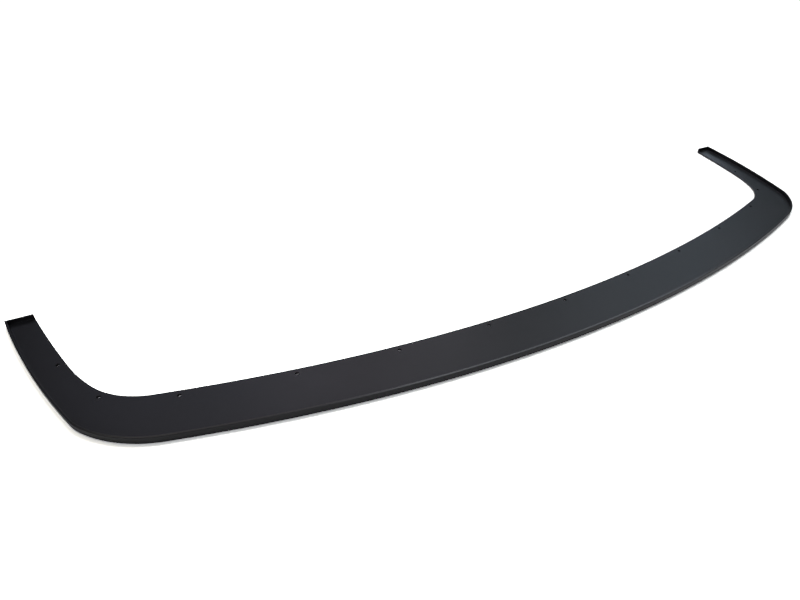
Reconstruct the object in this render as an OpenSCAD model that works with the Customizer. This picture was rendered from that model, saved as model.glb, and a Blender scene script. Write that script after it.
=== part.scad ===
// Front splitter lip: one formed sheet with a flat plate, a low upright rim
// along its outer edge and across the tip of each leg, and a row of screw holes.
// X is across the car, the front faces -Y, and the plate lies on Z = 0.

/* [Overall] */
// Width over the tips of the two legs
span = 1648; // [1560:1:1760]
// Depth from the middle of the front edge to the leg tips
depth = 440; // [400:1:500]

/* [Sheet] */
// Thickness of the plate
sheet = 3.5; // [2.5:0.1:5]
// Width of the plate at the middle of the front
plate_w = 92.5; // [80:0.5:110]
// Width of each leg at its tip, over the rim
leg_w = 39; // [34:0.5:52]

/* [Outer edge] */
// Radius of the long sweep across the front
outer_front_r = 2300; // [2100:10:2600]
// Radius where the front sweep starts to turn into the corner
outer_bend_r = 182; // [150:1:220]
// Radius of the corner itself
outer_corner_r = 75; // [60:1:120]
// Radius of the long curve of the leg
outer_leg_r = 1420; // [1200:10:1800]
// Heading of the edge where the bend tightens into the corner, in degrees
outer_bend_end = 53.5; // [48:0.5:56]
// Heading of the edge where the corner ends and the leg starts, in degrees
outer_corner_end = 66.5; // [64:0.5:70]

/* [Inner edge] */
// Radius of the long sweep along the bumper
inner_front_r = 2440; // [2200:10:2800]
// Radius of the inner corner
inner_corner_r = 121; // [90:1:150]
// Radius where the corner opens out towards the leg
inner_ease_r = 285; // [220:1:330]
// Radius of the long curve of the leg
inner_leg_r = 2200; // [1800:10:3000]
// Heading of the edge where the corner starts to open out, in degrees
inner_corner_end = 57.5; // [54:0.5:62]
// Heading of the edge where the leg starts, in degrees
inner_ease_end = 70.5; // [69:0.5:73]

/* [Rim] */
// Height of the rim above the underside of the plate
rim_h = 12; // [8:0.5:20]
// Thickness of the rim
rim_t = 3.2; // [2:0.1:5]
// Radius of the small cove in the corner between the plate and the rim
cove_r = 1; // [0.5:0.25:4]
// Radius of the bend at the foot of the rim, outside
foot_r = 2; // [1:0.25:3]
// Radius of the softened edges along the top of the rim
edge_r = 0.6; // [0.2:0.1:0.9]
// Fall of the rim's top towards the outside, in degrees
top_slope = 15; // [0:1:30]

/* [Screw holes] */
// Diameter of each screw hole
hole_d = 5.5; // [4:0.1:8]
// Distance from the inner edge to the centre of a hole
hole_setback = 9.5; // [8:0.5:14]
// Distance between holes along the front
front_pitch = 152; // [140:1:158]
// Distance from the last front hole to the first corner hole
side_pitch = 156; // [150:1:164]
// Distance between the holes round the corner
corner_pitch = 103; // [90:1:115]

/* [Hidden] */
$fn = 96;

// Share of the half width at which the front sweep is first taken to end
first_share = 0.8;
// How many times that end is corrected so that the leg meets its tip
solve_steps = 12;
// Longest turn between two sections on a long sweep and on a corner, in degrees
sweep_step = 0.5;
corner_step = 2;
// Turns above this radius, in mm, count as long sweeps
sweep_from_r = 500;
// Steps round the cove, round the foot of the rim and round each of its top edges
cove_steps = 4;
foot_steps = 3;
edge_steps = 3;
// Length of the leg before its tip that is spanned in one step, as a share of flat_from
tip_share = 1.5;
// Height that carries a hole clear past the sheet
clear = 10;
// A quarter turn in degrees, and the degrees in a radian
quarter = 90;
deg = 180 / PI;

front_y = -depth / 2;
tip_y = depth / 2;
// Distance from the outer face of the rim to the flat of the plate
flat_from = rim_t + cove_r;
// The step that takes the rim round the tip's corner starts this far before the tip
tip_zone = tip_share * flat_from;
outer_radii = [outer_front_r, outer_bend_r, outer_corner_r, outer_leg_r];
outer_headings = [outer_bend_end, outer_corner_end];
inner_radii = [inner_front_r, inner_corner_r, inner_ease_r, inner_leg_r];
inner_headings = [inner_corner_end, inner_ease_end];

// A state is [x, y, heading]. An arc of radius r turns it left to heading h.
function arc_end(s, r, h) = [
    s.x + r * (sin(h) - sin(s.z)),
    s.y + r * (cos(s.z) - cos(h)),
    h
];

// Heading at which an arc of radius r from state s reaches the height y
function heading_at(s, r, y) = acos(cos(s.z) - (y - s.y) / r);

// States at the start and at the end of each arc of an edge, right half
function edge_states(y0, radii, headings, h1) =
    let (s0 = [0, y0, 0])
    let (s1 = arc_end(s0, radii[0], h1))
    let (s2 = arc_end(s1, radii[1], headings[0]))
    let (s3 = arc_end(s2, radii[2], headings[1]))
    let (s4 = arc_end(s3, radii[3], heading_at(s3, radii[3], tip_y)))
    [s0, s1, s2, s3, s4];

// Turn of the front sweep for which the edge ends at x = tip_x
function front_turn(y0, radii, headings, tip_x, h, steps) =
    steps == 0 ? h :
    let (miss = tip_x - edge_states(y0, radii, headings, h)[4].x)
    let (turn = miss / (radii[0] * cos(h)) * deg)
    front_turn(y0, radii, headings, tip_x, h + turn, steps - 1);

// States of an edge that starts at y0 and ends at x = tip_x
function solved_edge(y0, radii, headings, tip_x) =
    let (first = asin(tip_x * first_share / radii[0]))
    edge_states(y0, radii, headings, front_turn(y0, radii, headings, tip_x, first, solve_steps));

outer_edge = solved_edge(front_y, outer_radii, outer_headings, span / 2);
inner_edge = solved_edge(front_y + plate_w, inner_radii, inner_headings, span / 2 - leg_w);

// Longest step, in degrees, along a turn of radius r
function step_for(r) = r > sweep_from_r ? sweep_step : corner_step;

// States along one arc, without its first one
function arc_states(s, r, h) =
    let (n = ceil((h - s.z) / step_for(r)))
    [for (i = [1 : n]) arc_end(s, r, s.z + (h - s.z) * i / n)];

// States along the right half of an edge, from the middle to the height y_end on the leg
function half_states(edge, radii, y_end) = concat(
    [edge[0]],
    [for (k = [0 : 2]) each arc_states(edge[k], radii[k], edge[k + 1].z)],
    arc_states(edge[3], radii[3], heading_at(edge[3], radii[3], y_end))
);

// Both halves, from the left leg to the right leg
function both_halves(half) = concat(
    [for (i = [len(half) - 1 : -1 : 1]) [-half[i].x, half[i].y, -half[i].z]],
    half
);

// State at the length l along an edge from the middle
function state_along(states, radii, l, k = 0) =
    let (turn = states[k + 1].z - states[k].z)
    let (arc_len = radii[k] * turn / deg)
    l <= arc_len || k == 3
        ? arc_end(states[k], radii[k], states[k].z + l / radii[k] * deg)
        : state_along(states, radii, l - arc_len, k + 1);

// x at the height y on the leg of an edge whose outline is moved in by off
function leg_x(edge, r, y, off) =
    let (s = edge[3])
    let (h = acos((s.y + r * cos(s.z) - y) / (r - off)))
    s.x - r * sin(s.z) + (r - off) * sin(h);

// Height of the rim's top at its outer edge, before that edge is rounded
outer_top = rim_h - (rim_t - 2 * edge_r) * tan(top_slope);

// Section of the rim as [distance in from the outer face, height]: from the flat of the
// plate up the cove, over the sloping top and down the outer face to the underside
rim_line = concat(
    [for (i = [0 : cove_steps])
        let (a = quarter * i / cove_steps)
        [flat_from - cove_r * sin(a), sheet + cove_r * (1 - cos(a))]],
    [for (i = [0 : edge_steps])
        let (a = (quarter + top_slope) * i / edge_steps)
        [rim_t - edge_r * (1 - cos(a)), rim_h - edge_r * (1 - sin(a))]],
    [for (i = [0 : edge_steps])
        let (a = top_slope + (quarter - top_slope) * i / edge_steps)
        [edge_r * (1 - sin(a)), outer_top - edge_r * (1 - cos(a))]],
    [for (i = [0 : foot_steps])
        let (a = quarter * i / foot_steps)
        [foot_r * (1 - cos(a)), foot_r * (1 - sin(a))]]
);
across = len(rim_line);
outer_foot = across - 1 - foot_steps;

// The rim's section at a state of the outer edge
function section_at(s) = [for (p = rim_line)
    [s.x - p[0] * sin(s.z), s.y + p[0] * cos(s.z), p[1]]];

// The same section where the rim turns across the tip of a leg, and where it ends at the
// leg's inner edge; side is 1 on the right and -1 on the left
function corner_section(side) = [for (p = rim_line)
    [side * leg_x(outer_edge, outer_leg_r, tip_y - p[0], p[0]), tip_y - p[0], p[1]]];
function end_section(side) = [for (p = rim_line)
    [side * leg_x(inner_edge, inner_leg_r, tip_y - p[0], 0), tip_y - p[0], p[1]]];

sections = concat(
    [end_section(-1), corner_section(-1)],
    [for (s = both_halves(half_states(outer_edge, outer_radii, tip_y - tip_zone))) section_at(s)],
    [corner_section(1), end_section(1)]
);
along = len(sections);
inner_line = both_halves(half_states(inner_edge, inner_radii, tip_y - flat_from));
inner_count = len(inner_line);

points = concat(
    [for (row = sections) each row],
    [for (s = inner_line) [s.x, s.y, 0]],
    [for (j = [1 : inner_count - 2]) [inner_line[j].x, inner_line[j].y, sheet]]
);
inner_low = [for (j = [0 : inner_count - 1]) along * across + j];
inner_high = concat(
    [0],
    [for (j = [1 : inner_count - 2]) along * across + inner_count + j - 1],
    [(along - 1) * across]
);
flat_line = [for (i = [1 : along - 2]) i * across];
under_line = [for (i = [0 : along - 1]) i * across + across - 1];

// Middles of the steps of a line of points, as shares of its whole length
function middles(line) =
    let (n = len(line))
    let (steps = [for (i = [0 : n - 2]) norm(points[line[i + 1]] - points[line[i]])])
    let (ends = [for (i = 0, l = 0; i < n; l = l + (i < n - 1 ? steps[i] : 0), i = i + 1) l])
    [for (i = [0 : n - 2]) (ends[i] + ends[i + 1]) / 2 / ends[n - 1]];

function count_below(list, limit) = len([for (v = list) if (v < limit) v]);
function count_up_to(list, limit) = len([for (v = list) if (v <= limit) v]);

// Triangles that fill the flat between two lines that run the same way
function fill(line_a, line_b) =
    let (a = middles(line_a))
    let (b = middles(line_b))
    concat(
        [for (i = [0 : len(a) - 1]) [line_a[i], line_a[i + 1], line_b[count_below(b, a[i])]]],
        [for (j = [0 : len(b) - 1]) [line_b[j + 1], line_b[j], line_a[count_up_to(a, b[j])]]]
    );

function flipped(faces) = [for (f = faces) [f[0], f[2], f[1]]];

function strip(a0, a1, b0, b1) = [[a0, b1, a1], [a0, b0, b1]];

// Flat end of a leg on the side of its inner edge
function end_fan(row, low) =
    let (ring = concat([low], [for (k = [0 : across - 1]) row * across + k]))
    let (n = len(ring))
    let (from = outer_foot + 1)
    [for (i = [1 : n - 2]) [ring[from], ring[(from + i) % n], ring[(from + i + 1) % n]]];

faces = concat(
    [for (i = [0 : along - 2])
        for (k = [0 : across - 2])
            each strip(i * across + k, i * across + k + 1, (i + 1) * across + k, (i + 1) * across + k + 1)],
    flipped(fill(flat_line, inner_high)),
    fill(under_line, inner_low),
    [for (j = [0 : inner_count - 2])
        each strip(inner_low[j], inner_high[j], inner_low[j + 1], inner_high[j + 1])],
    end_fan(0, inner_low[0]),
    flipped(end_fan(along - 1, inner_low[inner_count - 1]))
);

hole_lengths = [
    0,
    front_pitch,
    2 * front_pitch,
    3 * front_pitch,
    3 * front_pitch + side_pitch,
    3 * front_pitch + side_pitch + corner_pitch,
    3 * front_pitch + side_pitch + 2 * corner_pitch
];
hole_places = [for (l = hole_lengths)
    let (s = state_along(inner_edge, inner_radii, l))
    [s.x + hole_setback * sin(s.z), s.y - hole_setback * cos(s.z)]];

// The formed sheet: flat plate, cove and rim
module formed_sheet() {
    polyhedron(points, faces);
}

module screw_hole(place) {
    translate([place.x, place.y, -clear]) cylinder(h = sheet + 2 * clear, d = hole_d);
}

module splitter_lip() {
    color("#2b2c2f")
        difference() {
            formed_sheet();
            for (i = [0 : len(hole_places) - 1]) screw_hole(hole_places[i]);
            for (i = [1 : len(hole_places) - 1]) mirror([1, 0, 0]) screw_hole(hole_places[i]);
        }
}

splitter_lip();
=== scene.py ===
import math

import bpy
from mathutils import Matrix, Vector
from mathutils.geometry import delaunay_2d_cdt


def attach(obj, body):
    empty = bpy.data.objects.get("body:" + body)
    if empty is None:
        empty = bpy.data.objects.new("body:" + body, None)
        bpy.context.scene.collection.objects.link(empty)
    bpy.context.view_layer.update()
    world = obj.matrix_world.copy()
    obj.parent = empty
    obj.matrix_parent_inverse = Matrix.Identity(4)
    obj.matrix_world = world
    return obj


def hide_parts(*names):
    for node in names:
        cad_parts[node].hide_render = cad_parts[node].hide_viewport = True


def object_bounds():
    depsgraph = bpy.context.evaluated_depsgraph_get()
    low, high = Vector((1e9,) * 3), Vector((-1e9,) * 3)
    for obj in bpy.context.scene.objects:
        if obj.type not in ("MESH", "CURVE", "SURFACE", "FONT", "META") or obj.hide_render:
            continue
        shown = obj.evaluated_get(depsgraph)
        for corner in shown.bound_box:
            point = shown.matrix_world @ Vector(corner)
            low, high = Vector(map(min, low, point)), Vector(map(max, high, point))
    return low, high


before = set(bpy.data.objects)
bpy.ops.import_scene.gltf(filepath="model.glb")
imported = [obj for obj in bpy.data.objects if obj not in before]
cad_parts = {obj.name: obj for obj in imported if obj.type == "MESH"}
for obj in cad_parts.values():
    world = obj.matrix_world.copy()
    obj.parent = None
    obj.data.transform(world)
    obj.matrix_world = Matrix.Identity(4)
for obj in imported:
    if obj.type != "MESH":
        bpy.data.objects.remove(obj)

CAD_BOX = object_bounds()

# The lip is worked out in millimetres and degrees, and the studio in metres. X runs across the
# car, the front faces -Y, and the underside of the plate lies on Z = 0.
MM = 0.001

# overall size, from the box of the CAD model
SPAN = round((CAD_BOX[1][0] - CAD_BOX[0][0]) / MM, 3)
DEPTH = round((CAD_BOX[1][1] - CAD_BOX[0][1]) / MM, 3)
FRONT_Y = -DEPTH / 2
TIP_Y = DEPTH / 2

# plate: its thickness, its width at the middle of the front and at the tip of each leg
SHEET = 3.5
PLATE_W = 92.5
LEG_W = 39

# Each half of an edge is four arcs: the front sweep, two round the corner, and the leg. A heading
# is 0 along +X at the middle of the front and grows towards the leg. The turns are the headings at
# which the second and the third arc end. The first is solved, and the last ends at the tip.
OUTER_RADII = (2300, 182, 75, 1420)
OUTER_TURNS = (53.5, 66.5)
INNER_RADII = (2440, 121, 285, 2200)
INNER_TURNS = (57.5, 70.5)
FIRST_GUESS = 15.0
SOLVER_ROUNDS = 30

# rim: its height over the underside, its thickness, the cove inside, the bend at its foot, the
# rounded edges along its top, and the fall of that top towards the outside
RIM_H = 12
RIM_T = 3.2
COVE_R = 1
FOOT_R = 2
TOP_R = 0.6
TOP_FALL = 15
# height of the rim at its outer edge, and the distance from there to the flat of the plate
OUTSIDE_H = RIM_H - (RIM_T - 2 * TOP_R) * math.tan(math.radians(TOP_FALL))
FLAT = RIM_T + COVE_R

# screw holes: each half has front holes, counted from the middle one, and corner holes
HOLE_D = 5.5
SETBACK = 9.5
FRONT_PITCH = 152
SIDE_PITCH = 156
CORNER_PITCH = 103
FRONT_HOLES = 4
CORNER_HOLES = 3

# softened edges of the trimmed inner side, and the rows over which they run out at the tips
SOFT = 0.15
RUN_OUT = 3
# flat strip beside each rounded stretch, so that its shading doesn't spread over the plate
SEAM = 0.8
# length of each leg, as a share of FLAT, that is spanned in one step before its tip
TIP_SHARE = 1.6

# turns between neighbouring points: arcs above this radius are sweeps, the rest are corners
SWEEP_ABOVE = 500
SWEEP_STEP = 0.25
CORNER_STEP = 1.0
BEND_STEP = 15
TOP_STEP = 21
SOFT_STEP = 30
# points round a screw hole, and the angle from which an edge is shaded sharp
HOLE_STEPS = 48
SHARP_ANGLE = 32

# directions in a section: into the plate, up, out of it and down
IN, UP, OUT, DOWN = 0, 90, 180, 270

# two points are one where they agree to these decimals
DECIMALS = 5
# a triangle is part of a hole where its middle is this far inside the hole's edge
HOLE_MARGIN = 0.01
# the triangulation keeps what is inside its outline, to a tolerance
KEEP_INSIDE = 1
FILL_TOLERANCE = 1e-7


def arc_end(start, radius, heading):
    """State (x, y, heading) at the end of an arc that turns left from start to the heading."""
    a = math.radians(start[2])
    b = math.radians(heading)
    x = start[0] + radius * (math.sin(b) - math.sin(a))
    y = start[1] + radius * (math.cos(a) - math.cos(b))
    return (x, y, heading)


def heading_at(start, radius, y):
    """Heading at which an arc from start comes to the height y in plan."""
    return math.degrees(math.acos(math.cos(math.radians(start[2])) - (y - start[1]) / radius))


def inward(state, distance):
    """Point at a distance to the left of a state."""
    a = math.radians(state[2])
    return (state[0] - distance * math.sin(a), state[1] + distance * math.cos(a))


class Edge:
    """Half of an edge in plan, from the middle of the front to the tip of the right leg."""

    def __init__(self, front_y, radii, turns, tip_x):
        """Solve the front sweep's turn, so that the leg meets its tip."""
        self.radii = radii
        sweep = FIRST_GUESS
        for _ in range(SOLVER_ROUNDS):
            self.join_arcs(front_y, (sweep, *turns))
            miss = tip_x - self.joints[-1][0]
            sweep += math.degrees(miss / (radii[0] * math.cos(math.radians(sweep))))
        self.join_arcs(front_y, (sweep, *turns))

    def join_arcs(self, front_y, turns):
        """Set the states at the start, at the joints between the arcs, and at the tip."""
        self.joints = [(0.0, front_y, 0.0)]
        for radius, heading in zip(self.radii, turns):
            self.joints.append(arc_end(self.joints[-1], radius, heading))
        start = self.joints[-1]
        radius = self.radii[-1]
        self.joints.append(arc_end(start, radius, heading_at(start, radius, TIP_Y)))

    def states(self, y_end):
        """States in small steps along both halves, left leg first, up to y_end on the legs."""
        half = [self.joints[0]]
        headings = [joint[2] for joint in self.joints[1:-1]]
        headings.append(heading_at(self.joints[-2], self.radii[-1], y_end))
        for start, radius, heading in zip(self.joints, self.radii, headings):
            turn = heading - start[2]
            step = SWEEP_STEP if radius > SWEEP_ABOVE else CORNER_STEP
            count = math.ceil(turn / step)
            half += [arc_end(start, radius, start[2] + turn * i / count) for i in range(1, count + 1)]
        return [(-x, y, -heading) for x, y, heading in reversed(half[1:])] + half

    def leg_x(self, y, inset):
        """Distance of the leg from the middle plane at y, moved to the inside by inset."""
        start = self.joints[-2]
        radius = self.radii[-1]
        a = math.radians(start[2])
        b = math.acos((start[1] + radius * math.cos(a) - y) / (radius - inset))
        return start[0] - radius * math.sin(a) + (radius - inset) * math.sin(b)

    def state_at(self, length):
        """State at a length along the edge from the middle of the front."""
        for start, end, radius in zip(self.joints, self.joints[1:], self.radii):
            arc = radius * math.radians(end[2] - start[2])
            if length <= arc or end is self.joints[-1]:
                return arc_end(start, radius, start[2] + math.degrees(length / radius))
            length -= arc


OUTER = Edge(FRONT_Y, OUTER_RADII, OUTER_TURNS, SPAN / 2)
INNER = Edge(FRONT_Y + PLATE_W, INNER_RADII, INNER_TURNS, SPAN / 2 - LEG_W)


def rounding(x, z, radius, start, end, step):
    """Arc in a section, as (distance into the plate, height)."""
    count = math.ceil(abs(end - start) / step)
    points = []
    for i in range(count + 1):
        a = math.radians(start + (end - start) * i / count)
        points.append((x + radius * math.cos(a), z + radius * math.sin(a)))
    return points


# from the flat of the plate up through the cove, over the rim, and round its foot to the underside
RIM_SECTION = ([(FLAT + SEAM, SHEET)]
               + rounding(FLAT, SHEET + COVE_R, COVE_R, DOWN, OUT, BEND_STEP)
               + rounding(RIM_T - TOP_R, RIM_H - TOP_R, TOP_R, IN, UP + TOP_FALL, TOP_STEP)
               + rounding(TOP_R, OUTSIDE_H - TOP_R, TOP_R, UP + TOP_FALL, OUT, TOP_STEP)
               + rounding(FOOT_R, FOOT_R, FOOT_R, OUT, DOWN, BEND_STEP)
               + [(FOOT_R + SEAM, 0)])


class Surface:
    """Points and faces of a mesh, where points at the same place are one point."""

    def __init__(self):
        self.points = []
        self.faces = []
        self.known = {}

    def point(self, x, y, z):
        key = (round(x, DECIMALS), round(y, DECIMALS), round(z, DECIMALS))
        if key not in self.known:
            self.known[key] = len(self.points)
            self.points.append((x * MM, y * MM, z * MM))
        return self.known[key]

    def face(self, *corners):
        """One face with each corner taken once; none where fewer than three are left."""
        loop = list(dict.fromkeys(corners))
        if len(loop) > 2:
            self.faces.append(loop)

    def skin(self, rows, turned=False):
        """Faces between neighbouring rows; turned where the points run the other way round."""
        for a, b in zip(rows, rows[1:]):
            for k in range(len(a) - 1):
                if turned:
                    self.face(a[k], b[k], b[k + 1], a[k + 1])
                else:
                    self.face(a[k], a[k + 1], b[k + 1], b[k])


def tip_row(surface, side, edge, mitred):
    """The section of a tip's rim where it meets an edge of the leg; mitred where that has a rim."""
    row = []
    for distance, z in RIM_SECTION:
        y = TIP_Y - distance
        x = edge.leg_x(y, distance if mitred else 0)
        row.append(surface.point(side * x, y, z))
    return row


def rim_rows(surface):
    """The rim from the inner edge of the left leg round the outer edge to that of the right leg."""
    rows = [tip_row(surface, -1, INNER, False), tip_row(surface, -1, OUTER, True)]
    for state in OUTER.states(TIP_Y - TIP_SHARE * FLAT):
        rows.append([surface.point(*inward(state, distance), z) for distance, z in RIM_SECTION])
    rows.append(tip_row(surface, 1, OUTER, True))
    rows.append(tip_row(surface, 1, INNER, False))
    return rows


def trimmed_rows(surface):
    """The trimmed inner side: softened above and below, running out sharp at the tips."""
    states = INNER.states(TIP_Y - FLAT - SEAM)
    rows = []
    for i, state in enumerate(states):
        share = min(1.0, min(i, len(states) - 1 - i) / RUN_OUT)
        radius = SOFT * share
        section = [(radius + SEAM * share, SHEET)]
        section += rounding(radius, SHEET - radius, radius, UP, OUT, SOFT_STEP)
        section += rounding(radius, radius, radius, OUT, DOWN, SOFT_STEP)
        section.append((radius + SEAM * share, 0))
        rows.append([surface.point(*inward(state, -distance), z) for distance, z in section])
    return rows


def hole_centres():
    lengths = [i * FRONT_PITCH for i in range(FRONT_HOLES)]
    lengths += [lengths[-1] + SIDE_PITCH + i * CORNER_PITCH for i in range(CORNER_HOLES)]
    centres = []
    for length in lengths:
        x, y = inward(INNER.state_at(length), -SETBACK)
        centres.append((x, y))
        if length > 0:
            centres.append((-x, y))
    return centres


def hole_ring(x, y):
    angles = [2 * math.pi * i / HOLE_STEPS for i in range(HOLE_STEPS)]
    return [(x + HOLE_D / 2 * math.cos(a), y + HOLE_D / 2 * math.sin(a)) for a in angles]


def closed_path(first, count):
    """Edges that join count points, numbered from first, in a ring."""
    return [(first + i, first + (i + 1) % count) for i in range(count)]


def fill_flat(surface, outline, z, faces_up, centres):
    """A flat face at the height z inside an outline, with the screw holes left open."""
    ids = list(dict.fromkeys(outline))
    border = len(ids)
    spots = [Vector((surface.points[i][0] / MM, surface.points[i][1] / MM)) for i in ids]
    paths = closed_path(0, border)
    for centre in centres:
        ring = hole_ring(*centre)
        paths += closed_path(len(spots), len(ring))
        spots += [Vector(spot) for spot in ring]
        ids += [surface.point(x, y, z) for x, y in ring]
    fill = delaunay_2d_cdt(spots, paths, [list(range(border))], KEEP_INSIDE, FILL_TOLERANCE)
    places, _, triangles, origins, _, _ = fill
    for corners in triangles:
        middle = sum((places[i] for i in corners), Vector((0, 0))) / 3
        if any((middle - Vector(centre)).length < HOLE_D / 2 - HOLE_MARGIN for centre in centres):
            continue
        loop = [ids[origins[i][0]] for i in corners]
        a, b, c = (Vector(surface.points[i]) for i in loop)
        if ((b - a).cross(c - a).z > 0) != faces_up:
            loop.reverse()
        surface.face(*loop)


def hole_walls(surface, centres):
    for centre in centres:
        ring = hole_ring(*centre)
        for p, q in zip(ring, ring[1:] + ring[:1]):
            surface.face(surface.point(*p, 0), surface.point(*p, SHEET),
                         surface.point(*q, SHEET), surface.point(*q, 0))


def lip_surface():
    """The whole lip as one closed surface."""
    surface = Surface()
    rim = rim_rows(surface)
    trimmed = trimmed_rows(surface)
    surface.skin(rim)
    surface.skin(trimmed, turned=True)

    # what is left of each leg's inner side, between the trimmed rows and the rim of the tip
    surface.face(*reversed(rim[0] + [trimmed[0][-1]]))
    surface.face(*rim[-1], trimmed[-1][-1])

    centres = hole_centres()
    top = [row[0] for row in rim[1:-1]] + [row[0] for row in reversed(trimmed)]
    bottom = [row[-1] for row in rim] + [row[-1] for row in reversed(trimmed)]
    fill_flat(surface, top, SHEET, True, centres)
    fill_flat(surface, bottom, 0, False, centres)
    hole_walls(surface, centres)
    return surface


def build_lip():
    surface = lip_surface()
    mesh = bpy.data.meshes.new("splitter_lip_surface")
    mesh.from_pydata(surface.points, [], surface.faces)
    mesh.validate()
    for polygon in mesh.polygons:
        polygon.use_smooth = True
    mesh.set_sharp_from_angle(angle=math.radians(SHARP_ANGLE))
    obj = bpy.data.objects.new("front_splitter_lip", mesh)
    bpy.context.scene.collection.objects.link(obj)
    return obj


def node(tree, kind, inputs=None, **settings):
    """New shader node, each input given as a value or as the output that feeds it."""
    new = tree.nodes.new(kind)
    for name, value in settings.items():
        setattr(new, name, value)
    for name, value in (inputs or {}).items():
        if isinstance(value, bpy.types.NodeSocket):
            tree.links.new(value, new.inputs[name])
        else:
            new.inputs[name].default_value = value
    return new


def noise(tree, place, scale, detail):
    inputs = {"Vector": place, "Scale": scale, "Detail": detail}
    return node(tree, "ShaderNodeTexNoise", inputs).outputs["Fac"]


def spread(tree, value, source, target=(0, 1), **settings):
    """Maps one range of a value to another."""
    inputs = {"Value": value, "From Min": source[0], "From Max": source[1],
              "To Min": target[0], "To Max": target[1]}
    return node(tree, "ShaderNodeMapRange", inputs, **settings).outputs["Result"]


def mix(tree, factor, a, b, data_type="RGBA"):
    inputs = {"Factor": factor, "A": a, "B": b}
    return node(tree, "ShaderNodeMix", inputs, data_type=data_type).outputs["Result"]


def bump(tree, height, strength, distance, **inputs):
    inputs |= {"Height": height, "Strength": strength, "Distance": distance}
    return node(tree, "ShaderNodeBump", inputs).outputs["Normal"]


def black_plastic():
    """Satin black moulded plastic, with a paler and smoother cut edge along the top of the rim."""
    clouds = (0.3, 0.7)
    roughness = (0.31, 0.36)
    deep_black = (0.0065, 0.0065, 0.0078, 1)
    light_black = (0.0085, 0.0083, 0.0096, 1)
    cut_heights = (10.8 * MM, 11.2 * MM)
    cut_roughness = 0.3
    cut_grey = (0.03, 0.03, 0.032, 1)

    mat = bpy.data.materials.new("satin_black_abs")
    mat.use_nodes = True
    tree = mat.node_tree
    shader = tree.nodes["Principled BSDF"]
    shader.inputs["IOR"].default_value = 1.5
    place = node(tree, "ShaderNodeTexCoord").outputs["Object"]

    # fine moulded grain over the slow waviness of the sheet
    grain = noise(tree, place, scale=900, detail=3)
    wave = noise(tree, place, scale=6, detail=2)
    wavy = bump(tree, wave, strength=0.6, distance=0.6 * MM)
    grained = bump(tree, grain, strength=0.5, distance=0.12 * MM, Normal=wavy)
    tree.links.new(grained, shader.inputs["Normal"])

    # uneven sheen and a faint drift of the colour
    cloud = noise(tree, place, scale=14, detail=5)
    sheen = spread(tree, cloud, clouds, roughness)
    drift = node(tree, "ShaderNodeValToRGB", {"Fac": cloud})
    first, last = drift.color_ramp.elements
    first.position, last.position = clouds
    first.color = deep_black
    last.color = light_black

    # the cut edge, told from the rest by its height
    height = node(tree, "ShaderNodeSeparateXYZ", {"Vector": place}).outputs["Z"]
    cut = spread(tree, height, cut_heights, interpolation_type="SMOOTHSTEP")
    tree.links.new(mix(tree, cut, sheen, cut_roughness, "FLOAT"), shader.inputs["Roughness"])
    tree.links.new(mix(tree, cut, drift.outputs["Color"], cut_grey), shader.inputs["Base Color"])
    return mat


def floor_colour(tree):
    """Grey to the light, brighter in mirror images, and white to the camera.

    What the camera sees is above 1, so that dim light still gives white. It falls from left to
    right near the part, which keeps the soft shadow along the front edge equally wide.
    """
    lit = (0.7, 0.7, 0.72, 1)
    mirrored = (1.3, 1.3, 1.25, 1)
    seen_left = (6.55, 6.55, 6.0, 1)
    seen_right = (2.9, 2.8, 2.6, 1)
    left_to_right = (-0.6, 0.35)
    far_to_near = (1.5, 1.0)

    ray = node(tree, "ShaderNodeLightPath")
    place = node(tree, "ShaderNodeTexCoord").outputs["Object"]
    x = node(tree, "ShaderNodeSeparateXYZ", {"Vector": place}).outputs["X"]
    distance = node(tree, "ShaderNodeVectorMath", {0: place}, operation="LENGTH").outputs["Value"]
    inputs = {0: spread(tree, x, left_to_right), 1: spread(tree, distance, far_to_near)}
    fall = node(tree, "ShaderNodeMath", inputs, operation="MULTIPLY").outputs["Value"]
    seen = mix(tree, fall, seen_left, seen_right)
    colour = mix(tree, ray.outputs["Is Camera Ray"], lit, seen)
    return mix(tree, ray.outputs["Is Glossy Ray"], colour, mirrored)


def build_floor():
    """Round floor just clear of the underside, so that no two faces share a plane."""
    radius = 1.9
    gap = 1 * MM
    bpy.ops.mesh.primitive_circle_add(vertices=96, radius=radius, fill_type="NGON", location=(0, 0, -gap))
    obj = bpy.context.object
    obj.name = "floor"
    mat = bpy.data.materials.new("pale_floor")
    mat.use_nodes = True
    tree = mat.node_tree
    tree.nodes.remove(tree.nodes["Principled BSDF"])
    shader = node(tree, "ShaderNodeBsdfDiffuse", {"Color": floor_colour(tree)})
    tree.links.new(shader.outputs["BSDF"], tree.nodes["Material Output"].inputs["Surface"])
    obj.data.materials.append(mat)
    return obj


def studio_world():
    """Nearly dark all round, and white to the camera."""
    dim = (0.03, 0.03, 0.03, 1)
    white = (1.05, 1.05, 1.05, 1)
    world = bpy.data.worlds.new("studio")
    bpy.context.scene.world = world
    world.use_nodes = True
    tree = world.node_tree
    ray = node(tree, "ShaderNodeLightPath")
    colour = mix(tree, ray.outputs["Is Camera Ray"], dim, white)
    tree.links.new(colour, tree.nodes["Background"].inputs["Color"])


def softbox(name, place, size, watts, colour, target=(0, 0, 0)):
    """Rectangular panel of light that faces its target and that the camera doesn't see."""
    data = bpy.data.lights.new(name, "AREA")
    data.shape = "RECTANGLE"
    data.size, data.size_y = size
    data.energy = watts
    data.color = colour
    obj = bpy.data.objects.new(name, data)
    bpy.context.scene.collection.objects.link(obj)
    obj.location = place
    obj.visible_camera = False
    obj.rotation_euler = (Vector(target) - Vector(place)).to_track_quat("-Z", "Y").to_euler()


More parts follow.
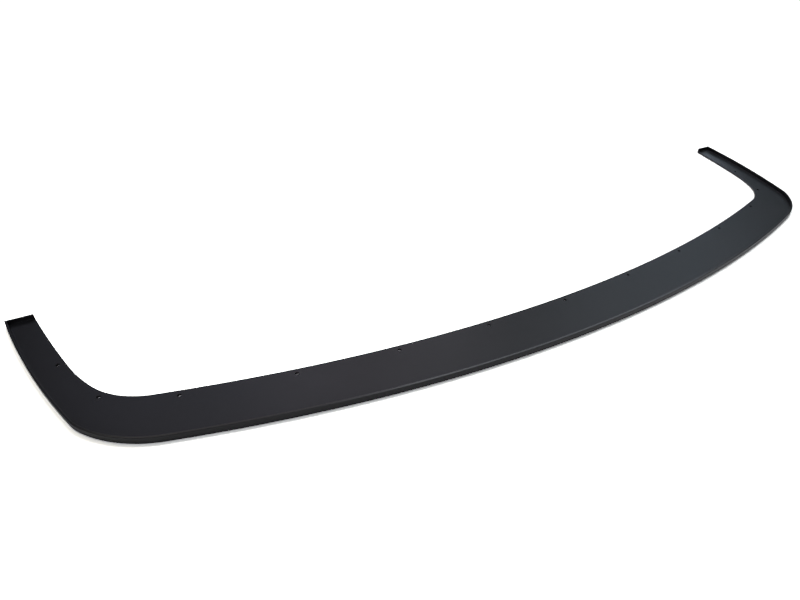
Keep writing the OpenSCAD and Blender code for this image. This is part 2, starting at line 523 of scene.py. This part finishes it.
def studio_lights():
    # behind the part: the plate mirrors these in the photograph's view
    wall = (1.5, 1.5)
    softbox("wall_left", (-0.577, 2.153, 2.007), wall, 4.3, (0.8, 0.82, 1.0))
    softbox("wall_middle", (0.539, 2.013, 2.158), wall, 5.6, (0.92, 0.87, 1.0))
    softbox("wall_right", (1.468, 1.631, 2.046), wall, 3.5, (0.87, 0.92, 1.0))
    softbox("wall_end", (2.294, 1.22, 1.5), (1.2, 1.2), 2.3, (0.7, 0.84, 1.0))
    softbox("wall_low", (2.72, 1.5, 0.72), (0.4, 0.4), 0.75, (0.72, 0.86, 1.0), (0.8, 0.2, 0))

    # in front: light on the outer face of the rim
    softbox("front_fill", (-0.84, -2.309, 1.721), wall, 8, (0.86, 0.88, 1.0))

    # overhead: the sloping top of the rim mirrors these
    softbox("strip_right", (1.18, 0.2, 1.87), (0.7, 2.05), 14, (0.85, 0.93, 1.0), (0.733, 0.2, 0.976))
    softbox("strip_middle", (0.3, 0.3, 2.27), (0.8, 0.7), 4.5, (0.95, 0.95, 1.0), (0.3, 0.2, 0))
    softbox("strip_left", (-1.05, 0.68, 2.15), (1.9, 0.6), 4.2, (1.0, 0.92, 0.85), (-1.05, 0.55, 0))

    # low in front: the plate mirrors these when it is seen from the sides and from behind
    low_side = (2.4, 1.1)
    low_white = (0.93, 0.95, 1.0)
    softbox("low_front", (0, -3.2, 0.95), (5, 1.1), 3, low_white)
    softbox("low_front_left", (-3.0, -1.6, 0.95), low_side, 1.5, low_white)
    softbox("low_front_right", (3.0, -1.6, 0.95), low_side, 1.5, low_white)


def photo_camera():
    """The photograph's viewpoint, with the focal length in pixels of its 800 by 600 frame."""
    frame_width = 800
    focal_length = 535.4
    sensor_width = 36
    pitch = math.radians(34.59)
    yaw = math.radians(28.89)
    roll = math.radians(0.77)
    place = Vector((-0.5677, -0.6555, 0.5480))

    data = bpy.data.cameras.new("camera")
    data.sensor_fit = "HORIZONTAL"
    data.sensor_width = sensor_width
    data.lens = focal_length / frame_width * sensor_width
    data.shift_x = -0.0251
    data.shift_y = -0.0285
    data.clip_start = 0.01
    data.clip_end = 100
    camera = bpy.data.objects.new("camera", data)
    bpy.context.scene.collection.objects.link(camera)
    ahead = (math.sin(yaw) * math.cos(pitch), math.cos(yaw) * math.cos(pitch), -math.sin(pitch))
    turn = Vector(ahead).to_track_quat("-Z", "Y").to_matrix().to_4x4()
    camera.matrix_world = Matrix.Translation(place) @ turn @ Matrix.Rotation(roll, 4, "Z")
    bpy.context.scene.camera = camera


lip = build_lip()
lip.data.materials.append(black_plastic())
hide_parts("splitter_lip")
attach(lip, "root")

floor = build_floor()

studio_world()
studio_lights()
photo_camera()
bpy.context.scene.view_settings.view_transform = "Standard"
